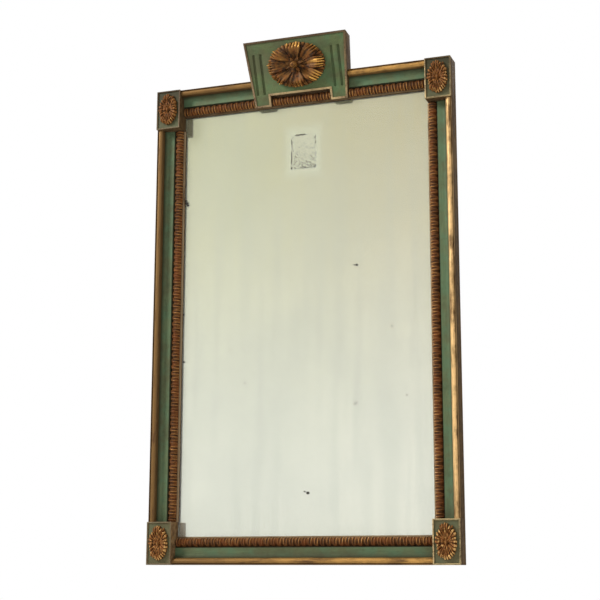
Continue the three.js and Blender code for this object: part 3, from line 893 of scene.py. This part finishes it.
CREST_RECESS = 2.0
CREST_DEEPEST = 7.0               # no flute is gouged deeper than this
crest_foot = Vector((0, front_of(CREST_FOOT_FRONT), FRAME_HIGH.z - CREST_FOOT_DROP * MM))
crest_up = Vector((0, -math.sin(CREST_LEAN), math.cos(CREST_LEAN)))
crest_out = Vector((0, -math.cos(CREST_LEAN), -math.sin(CREST_LEAN)))
crest_turn = Matrix((Vector((1, 0, 0)), crest_up, crest_out)).transposed().to_4x4()
crest_axes = Matrix.Translation(crest_foot) @ crest_turn
to_crest = crest_axes.inverted()

crest_green = green_paint("grey-green paint, crest", "", (0.108, 0.140, 0.055))
crest = copy_of("crest_tablet")
top_corners = []                  # the two short edges that are rounded more than the rest
for edge in crest.edges:
    ends = [to_crest @ vert.co / MM for vert in edge.verts]
    if all(abs(end.x) > CREST_TOP_HALF - 3 and end.y > CREST_SLANT - 15 for end in ends):
        if abs(ends[0].z - ends[1].z) > 5 and edge.calc_face_angle() > 0.8:
            top_corners.append(edge)
bmesh.ops.bevel(
    crest, geom=top_corners, offset=4.5 * MM, offset_type="OFFSET", segments=4, profile=0.5,
    affect="EDGES", clamp_overlap=True, material=-1,
)
ease_edges(crest, 0.9 * MM, 2, 50)
# Gilding on the rim, green on the sunk front and in the flutes, and brown on the rest.
for face in crest.faces:
    place = to_crest @ face.calc_center_median() / MM
    if place.z > -0.9 and face.normal.dot(crest_out) > -0.2:
        face.material_index = 0
    elif -CREST_DEEPEST < place.z < 0.5 - CREST_RECESS and abs(place.x) < CREST_TOP_HALF - 5:
        face.material_index = 1
    else:
        face.material_index = 2


def crest_shade_and_tone(place):
    """Painted shade darkens the flutes, and the rim is darker along its top and left."""
    across, up, out = to_crest @ place / MM
    if out < -CREST_RECESS - 0.6:
        return 0.70
    if out < -0.8:
        return 1.0
    if up > CREST_SLANT - 8:
        return 0.15
    if across < -(CREST_FOOT_HALF - 8):
        return 0.15 + 0.6 * step(up, 100, 30)
    return 0.55 if across > CREST_FOOT_HALF - 8 else 0.9


set_tone(crest, crest_shade_and_tone)
add_piece(crest, "painted_crest_tablet", [rim_gilding, crest_green, side_brown],
          "crest_tablet")


# ---- crest rosette --------------------------------------------------------------------------
# The large oval flower of the crest: eight broad fluted petals that rise round a deep hollow
# and roll over at their lobed tips, small leaves at their roots, and a knobbed bud.

CREST_FLOWER_HALF = (90.5, 66.5)
CREST_FLOWER_UP = 111.7
CREST_PETALS = 8
PETAL_LOBES = 5
PETAL_ROOT = 0.13


def under_petals(share, angle):
    """The ground of the flower, which shows as small lobes between the broad petals."""
    lobe = abs(math.cos(angle * CREST_PETALS * PETAL_LOBES / 2 + 0.4))
    base = 9.5 + 4.5 * step(share, 0.30, 0.70) - 8.0 * step(share, 0.78, 1.0)
    height = base - 2.6 * (1 - lobe ** 0.5) * step(share, 0.5, 0.8)
    height *= step(share, 1.13, 0.97)
    reach = 1 - (0.03 + 0.05 * (1 - lobe ** 0.5)) * step(share, 0.5, 1.0)
    tone = 0.04 + 0.40 * lobe * step(share, 0.80, 0.98)
    return max(0.5, height), reach, tone


crest_gold = carved_gilding(
    "gilding on the crest rosette", (0.030, 0.012, 0.002), (0.200, 0.084, 0.015),
    (0.86, 0.47, 0.11), 0.56, 60,
)
seat_height = JOINT_GAP - CREST_RECESS
flower_axes = crest_axes @ Matrix.Translation(Vector((0, CREST_FLOWER_UP, seat_height)) * MM)


def add_to_crest(bm, part_of_flower, smooth=80):
    """Sets a part of the flower, made flat on the origin, in its place on the crest."""
    bmesh.ops.transform(bm, matrix=flower_axes, verts=bm.verts)
    name = f"crest_rosette_{part_of_flower}"
    return add_piece(bm, name, [crest_gold], "crest_rosette", smooth=smooth)


flower = turned_disc(0.08, 20, CREST_PETALS * PETAL_LOBES * 8)
carve_disc(flower, *CREST_FLOWER_HALF, under_petals)
add_to_crest(flower, "ground", smooth=60)


def ring_of_petals(petal_shape, thickness):
    """Petals all round, as sheets with a thickness in mm. petal_shape gives a petal's shape:
    its radius as a share, angle, height in mm and tone, at a share of its length and a place
    across it from -1 to 1."""
    bm = bmesh.new()
    tone = bm.verts.layers.float.new("relief")
    for number in range(CREST_PETALS):
        shape = petal_shape(number)
        for vert in bmesh.ops.create_grid(bm, x_segments=16, y_segments=30, size=1)["verts"]:
            radius, angle, height, bright = shape((vert.co.x + 1) / 2, vert.co.y)
            across = radius * math.cos(angle) * CREST_FLOWER_HALF[0]
            up = radius * math.sin(angle) * CREST_FLOWER_HALF[1]
            vert.co = Vector((across, up, max(height, 1.5))) * MM
            vert[tone] = clamp(bright)
    bmesh.ops.recalc_face_normals(bm, faces=bm.faces)
    if sum(face.normal.z for face in bm.faces) < 0:
        bmesh.ops.reverse_faces(bm, faces=bm.faces)
    bmesh.ops.solidify(bm, geom=bm.faces, thickness=thickness * MM)
    return bm


# How bright each broad petal is painted, from the right-hand one anticlockwise: painted light,
# brightest on the right, the lower right and the top.
PETAL_LIGHT = (1.0, 0.30, 0.80, 0.45, 0.35, 0.30, 0.45, 0.95)


def broad_petal(number):
    """The shape of a broad petal: every other one lies a little lower and reaches further."""
    turn = (number + 0.08 * noise.noise((number * 1.9, 0.2, 0))) * 2 * math.pi / CREST_PETALS
    lower = number % 2
    # gold is the petal's share of painted light.
    gold = PETAL_LIGHT[number]

    def shape(length, across):
        lobe = abs(math.cos(across * math.pi * PETAL_LOBES / 2))
        which = round(across * PETAL_LOBES / 2)
        odd = noise.noise((number * 3.1 + which * 1.7, 0.6, 4.0))
        ragged = noise.noise((number * 3.1 + across * 2.2, length * 1.4, 4.0))
        tip = step(length, 0.62, 1.0)
        reach = 0.85 + 0.03 * lower - 0.08 * across ** 4 - 0.12 * (1 - lobe ** 0.7) + 0.06 * odd
        radius = PETAL_ROOT + (0.83 * (1 - tip) + reach * tip + 0.02 * ragged) * length
        half = 0.33 + 0.08 * math.sin(math.pi * length ** 0.8) - 0.05 * tip
        fall = (15.0 - 4.0 * odd) * step(length, 0.76, 1.04)
        height = 9.5 + 15.0 * step(length, 0.0, 0.80) - fall - 3.4 * lower
        height -= (0.5 + 4.2 * tip) * (1 - lobe ** 0.6) * step(length, 0.30, 0.68)
        height += 2.6 * across ** 2 * (1 - tip) - 3.6 * across ** 8
        height += 1.8 * ragged + 2.0 * odd * tip
        bright = 0.14 + 0.38 * gold * step(length, 0.20, 0.6) * (0.72 + 0.28 * lobe)
        bright += (0.10 + 0.45 * gold) * step(length, 0.50, 0.92) * lobe ** 0.8
        bright += 0.25 * step(length, 0.82, 0.97) * lobe + 0.55 * ragged + 0.45 * odd * tip
        bright -= (0.06 + 0.46 * tip) * (1 - lobe ** 0.5) + 0.85 * abs(across) ** 5
        return radius, turn + across * half, height, bright
    return shape


round_off(add_to_crest(ring_of_petals(broad_petal, 3.0), "petals"))


def root_leaf(number):
    """The shape of a small leaf at the root of the broad petals."""
    turn = (number + 0.5) * 2 * math.pi / CREST_PETALS

    def shape(length, across):
        rib = abs(math.cos(across * math.pi * 1.5))
        radius = 0.05 + (0.29 - 0.07 * across ** 2) * length
        half = 0.30 * math.sin(math.pi * (0.25 + 0.62 * length))
        height = 15.0 + 5.5 * math.sin(math.pi * length * 0.75) + 1.4 * (1 - rib) * length
        height -= 2.0 * across ** 4
        bright = 0.05 + 0.62 * length * (1.2 - rib) + 0.3 * noise.noise((number * 2.3, across, 1))
        return radius, turn + across * half, height, bright
    return shape


round_off(add_to_crest(ring_of_petals(root_leaf, 2.2), "root_leaves"))

BUD_HALF = Vector((10.6, 9.8, 15.0))
BUD_MIDDLE = Vector((0, 0, 29.0))
KNOB_ROWS = 3.2                   # per radian up the bud
KNOBS_AROUND = 7
bud = bmesh.new()
bud_tone = bud.verts.layers.float.new("relief")
bmesh.ops.create_uvsphere(bud, u_segments=56, v_segments=36, radius=1)
for vert in bud.verts:
    around = math.atan2(vert.co.y, vert.co.x)
    rows = math.asin(clamp(vert.co.z, -1.0)) * KNOB_ROWS
    beside = abs(math.cos(around * KNOBS_AROUND / 2 + round(rows) * 1.3))
    knob = (beside * abs(math.cos(rows * math.pi))) ** 0.6 * (1 - vert.co.z ** 12)
    vert[bud_tone] = (0.06 + 0.94 * knob) * (0.50 + 0.50 * max(0.0, vert.co.z))
    vert.co = (BUD_MIDDLE + BUD_HALF * vert.co * (0.86 + 0.14 * knob)) * MM
add_to_crest(bud, "bud")


# ---- glue blocks and crest screws -----------------------------------------------------------
# Two blocks rubbed with glue behind the crest, and iron screws with slotted heads, turned in
# from behind.

def planed_wood(node, run, easing):
    """A piece of bare softwood in the node's own shape, its edges eased by a width in mm."""
    wood = copy_of(node)
    ease_edges(wood, easing * MM)
    add_piece(wood, f"{node}_wood", [pine[run]], node)


for side in ("left", "right"):
    planed_wood(f"crest_{side}_glue_block", "X", 0.7)


def old_iron(name):
    """Forged iron, nearly black, with brown rust where damp has reached it."""
    material, place = new_material(name)
    scale = cloud(place, 240, 4, 0.6)
    damp = cloud(place, 70, 5, 0.7)
    iron = blend(rise(scale, 0.3, 0.7), (0.035, 0.032, 0.030), (0.095, 0.088, 0.082))
    rust = rise(damp, 0.50, 0.66)
    iron = blend(rust, iron, (0.115, 0.048, 0.020))
    return finish(material, iron, 0.45 + rust * 0.3, 0.85 - rust * 0.6, scale, 0.15 * MM)


iron = old_iron("old iron")


def slotted_screw(node, radii, turn):
    """A countersunk wood screw in the node's place. radii are those of its head and shank in
    mm, and turn is the angle of its slot in degrees."""
    low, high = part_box(node)
    length = (high.y - low.y) / MM
    head, shank = radii
    profile = [
        (0, -length), (shank, 4 - length), (shank, -3), (head, -0.2), (0.96 * head, 0), (0, 0),
    ]
    bm = outline([(radius * MM, y * MM, 0) for radius, y in profile])
    turn_round(bm, (0, 1, 0), 24)
    slot_half = 0.11 * head * MM
    for sign in (-1, 1):
        whole = list(bm.verts) + list(bm.edges) + list(bm.faces)
        bmesh.ops.bisect_plane(
            bm, geom=whole, dist=1e-7, plane_co=(sign * slot_half, 0, 0), plane_no=(1, 0, 0),
        )
    strip = [
        face for face in bm.faces
        if face.normal.y > 0.9 and abs(face.calc_center_median().x) < slot_half
    ]
    sunk = bmesh.ops.extrude_face_region(bm, geom=strip)["geom"]
    bmesh.ops.delete(bm, geom=strip, context="FACES")
    bottom = [item for item in sunk if isinstance(item, bmesh.types.BMVert)]
    bmesh.ops.translate(bm, verts=bottom, vec=(0, -0.28 * head * MM, 0))
    turned = seat_of(node) @ Matrix.Rotation(math.radians(turn), 4, "Y")
    bmesh.ops.transform(bm, matrix=turned, verts=bm.verts)
    add_piece(bm, f"{node}_iron", [iron], node)


WOOD_SCREW = (4.3, 2.2)
for side, turn in {"left": 35, "right": 105}.items():
    slotted_screw(f"crest_{side}_screw", WOOD_SCREW, turn)


# ---- glass and silvering --------------------------------------------------------------------
# A sheet of old flat glass, silvered on its back. It has clouded a little, and its colour is
# darker and yellower towards the top, a painted reflection.
# The silver has come away in one patch and in a few specks.

# Places and sizes of the worn spots in the silver, in mm across and up from its middle.
WORN_PATCH = (-1, 481)
WORN_PATCH_HALF = (37, 51)
SPECKS = ((258.5, -50.4, 1.5), (158.7, 129.8, 2.8), (151, 130.5, 1.7), (13.4, -502.9, 3.2),
          (4, -499, 2.0), (-176.7, -189.4, 1.5), (298.4, -243.5, 1.2), (-224.1, -91.8, 1.2),
          (-368, 356, 4.6), (-364, 350, 3.0), (-370, 364, 3.0), (-374, 20, 4.0),
          (-367, -120, 2.2), (150, -262, 1.4), (156, -258, 1.2))


def from_spot(across, up, spot, half):
    """How far a point lies from a spot's middle, as shares of its half-width and half-height."""
    return (across - spot[0] * MM) / (half[0] * MM), (up - spot[1] * MM) / (half[1] * MM)


def larger(first, second):
    """The larger of two wires."""
    return first.math("MAXIMUM", first, second)


def wear_of_silver(place):
    """Where the silver has come away, and how far a point lies outside the worn patch."""
    across = axis_of(place, "X")
    up = axis_of(place, "Z")
    ragged = cloud(place, 130, 5, 0.7)
    wavy = cloud(place, 34, 3, 0.6)
    fine = cloud(place, 300, 3, 0.65)
    broken = cloud(place, 42, 2, 0.6, (1, 1, 1), 1.2)
    lost = rise(cloud(place, 520, 3, 0.6), 0.775, 0.80, 0.0, 0.4)
    for *speck, size in SPECKS:
        x, z = from_spot(across, up, speck, (size * 1.35, size))
        away = (x * x + z * z) ** 0.5 + (ragged - 0.5) * 1.8
        lost = larger(lost, rise(away, 1.2, 0.8))
    x, z = from_spot(across, up, WORN_PATCH, WORN_PATCH_HALF)
    patch = larger(x.math("ABSOLUTE", x), z.math("ABSOLUTE", z))
    patch = patch + (ragged - 0.5) * 0.14 + (wavy - 0.5) * 0.12
    kept_edge = (broken - 0.5) * 1.5 - x * 0.10
    edge = rise(patch, 0.945, 0.965) * rise(patch, 1.015, 0.995) * rise(kept_edge, 0.02, 0.10)
    grains = ragged * 0.5 + fine * 0.5 - z * 0.03
    spots = rise(patch, 1.10, 0.98) * rise(grains, 0.565, 0.600)
    return larger(lost, larger(edge, spots)), patch


def dusty_glass(name):
    """Old flat glass under a haze of dust and old polish. Its colour is darker and browner towards
    the top and changes from left to right: a painted reflection. It is stained where the silver
    has gone."""
    material, place = new_material(name)
    up = axis_of(place, "Z")
    across = axis_of(place, "X")
    haze = cloud(place, 3.1, 4, 0.6)
    wiped = cloud(place, 26, 3, 0.55, (1, 1, 0.06))
    # Painted reflection: darker and browner towards the top, and changing from left to right.
    upper = blend(rise(across, -0.3, 0.4), (0.790, 0.790, 0.600), (0.785, 0.745, 0.560))
    lower = blend(rise(across, 0.05, 0.36), (0.965, 0.975, 0.905), (0.995, 1.0, 0.930))
    cast = blend(rise(up, -0.55, 0.85), lower, upper)
    cast = blend(rise(haze, 0.35, 0.65, 0.0, 0.14), cast, (0.80, 0.82, 0.78))
    cast = blend(rise(wiped, 0.42, 0.66, 0.0, 0.14), cast, (0.76, 0.79, 0.74))
    lost, patch = wear_of_silver(place)
    cast = blend(rise(patch, 1.9, 1.0, 0.0, 0.40), cast, (0.90, 0.93, 0.84))
    cast = blend(rise(patch, 1.0, 0.90, 0.0, 0.25), cast, (0.80, 0.80, 0.68))
    cast = blend(lost * 0.95, cast, (0.070, 0.050, 0.020))
    clear = {"Transmission Weight": 0.85, "IOR": 1.5, "Specular IOR Level": 0.5}
    return finish(material, cast, 0.0, **clear)


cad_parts["mirror_glass"].material_slots[0].material = dusty_glass("old flat glass")


def aged_silver(name):
    """The silver coat, seen through the glass, with its wear."""
    material, place = new_material(name)
    haze = cloud(place, 2.2, 3, 0.55)
    silver = blend(rise(haze, 0.35, 0.65), (0.975, 0.972, 0.950), (0.925, 0.930, 0.905))
    lost = wear_of_silver(place)[0]
    silver = blend(lost, silver, (0.060, 0.045, 0.022))
    return finish(material, silver, lost * 0.5, 1 - lost)


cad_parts["silvering"].material_slots[0].material = aged_silver("aged silver")


# ---- boards and battens ---------------------------------------------------------------------
# Thin upright boards close the back, and three battens screwed to the stiles hold them in.

for number in (1, 2, 3):
    planed_wood(f"back_board_{number}", "Z", 0.5)

for number, level in enumerate(("upper", "middle", "lower")):
    planed_wood(f"{level}_batten", "X", 0.9)
    for side, turn in {"left": 20, "right": 100}.items():
        slotted_screw(f"{level}_batten_{side}_screw", WOOD_SCREW, turn + 50 * number)


# ---- hangers --------------------------------------------------------------------------------
# Iron straps screwed high on the stiles, each with its lower end curled into an eye, and a
# round ring that swings in the eye and goes over a wall hook.

def hanging_ring(side):
    """A ring bent from round bar and welded, in the node's place."""
    node = f"{side}_hanger_ring"
    low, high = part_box(node)
    bar = (high.y - low.y) / 2
    radius = (high.x - low.x) / 2 - bar
    bm = bmesh.new()
    bmesh.ops.create_circle(bm, cap_ends=False, segments=14, radius=bar)
    quarter_turn = Matrix.Rotation(math.pi / 2, 3, "Z")
    bmesh.ops.rotate(bm, verts=bm.verts, cent=(0, 0, 0), matrix=quarter_turn)
    bmesh.ops.translate(bm, verts=bm.verts, vec=(radius, 0, 0))
    turn_round(bm, (0, 1, 0), 72)
    bmesh.ops.translate(bm, verts=bm.verts, vec=(low + high) / 2)
    add_piece(bm, f"{side}_hanging_ring", [iron], node, f"{side}_ring")


PLATE_SCREW = (3.3, 1.7)
for side, turn in {"left": 15, "right": 80}.items():
    node = f"{side}_hanger_plate"
    strap = copy_of(node)
    ease_edges(strap, 0.35 * MM, 2, 40)
    add_piece(strap, f"{side}_hanger_strap", [iron], node)
    for end in ("lower", "upper"):
        slotted_screw(f"{side}_hanger_{end}_screw", PLATE_SCREW, turn)
    hanging_ring(side)


# ---- floor, lights and world ----------------------------------------------------------------
# A pale studio: a floor well below the hanging mirror, a soft lamp high on the left, weaker ones
# on the right and behind, and an even world. The camera, glass and metal see both as white.

FLOOR_HALF = 12
FLOOR_DROP = 0.6
floor_mesh = bmesh.new()
bmesh.ops.create_grid(floor_mesh, x_segments=1, y_segments=1, size=FLOOR_HALF)
bmesh.ops.translate(floor_mesh, verts=floor_mesh.verts, vec=(0, 0, FRAME_LOW.z - FLOOR_DROP))
floor_data = bpy.data.meshes.new("floor")
floor_mesh.to_mesh(floor_data)
floor_mesh.free()
floor = bpy.data.objects.new("floor", floor_data)
bpy.context.scene.collection.objects.link(floor)
floor_material, floor_place = new_material("pale floor")


def seen_rays(wire):
    """1 for rays from the camera, and from glass and metal that it sees, and 0 for light."""
    seen, mirrored, refracted = (
        wire.node("LightPath", {}, {}, f"Is {kind} Ray")
        for kind in ("Camera", "Glossy", "Transmission")
    )
    return larger(seen, larger(mirrored, refracted))


floor_glow = blend(seen_rays(floor_place), (0, 0, 0), (0.42, 0.42, 0.42))
glowing = {"Emission Color": floor_glow, "Emission Strength": 1.0}
floor_data.materials.append(finish(floor_material, (0.86, 0.86, 0.85), 0.7, **glowing))


def soft_lamp(name, place, aim, size, power):
    """A square area lamp that faces a point."""
    data = bpy.data.lights.new(name, "AREA")
    data.shape = "SQUARE"
    data.size = size
    data.energy = power
    lamp = bpy.data.objects.new(name, data)
    lamp.location = place
    lamp.rotation_euler = (Vector(aim) - Vector(place)).to_track_quat("-Z", "Y").to_euler()
    bpy.context.scene.collection.objects.link(lamp)


soft_lamp("key lamp", (-2.9, -2.4, 2.4), (0, 0, 0.1), 1.1, 165)
soft_lamp("fill lamp", (2.9, -3.4, 1.2), (0, 0, 0), 1.6, 22)
soft_lamp("back lamp", (0.5, 3.4, 1.8), (0, 0, 0), 2.0, 45)

world = bpy.data.worlds.new("studio")
bpy.context.scene.world = world
world.use_nodes = True
WORLD_LIGHT = 0.40
background = world.node_tree.nodes["Background"]
background.inputs["Color"].default_value = (1, 1, 1, 1)
seen = seen_rays(Wire(background.outputs[0]))
strength = seen * (1 - WORLD_LIGHT) + WORLD_LIGHT
world.node_tree.links.new(strength.socket, background.inputs["Strength"])

bpy.context.scene.view_settings.view_transform = "Standard"
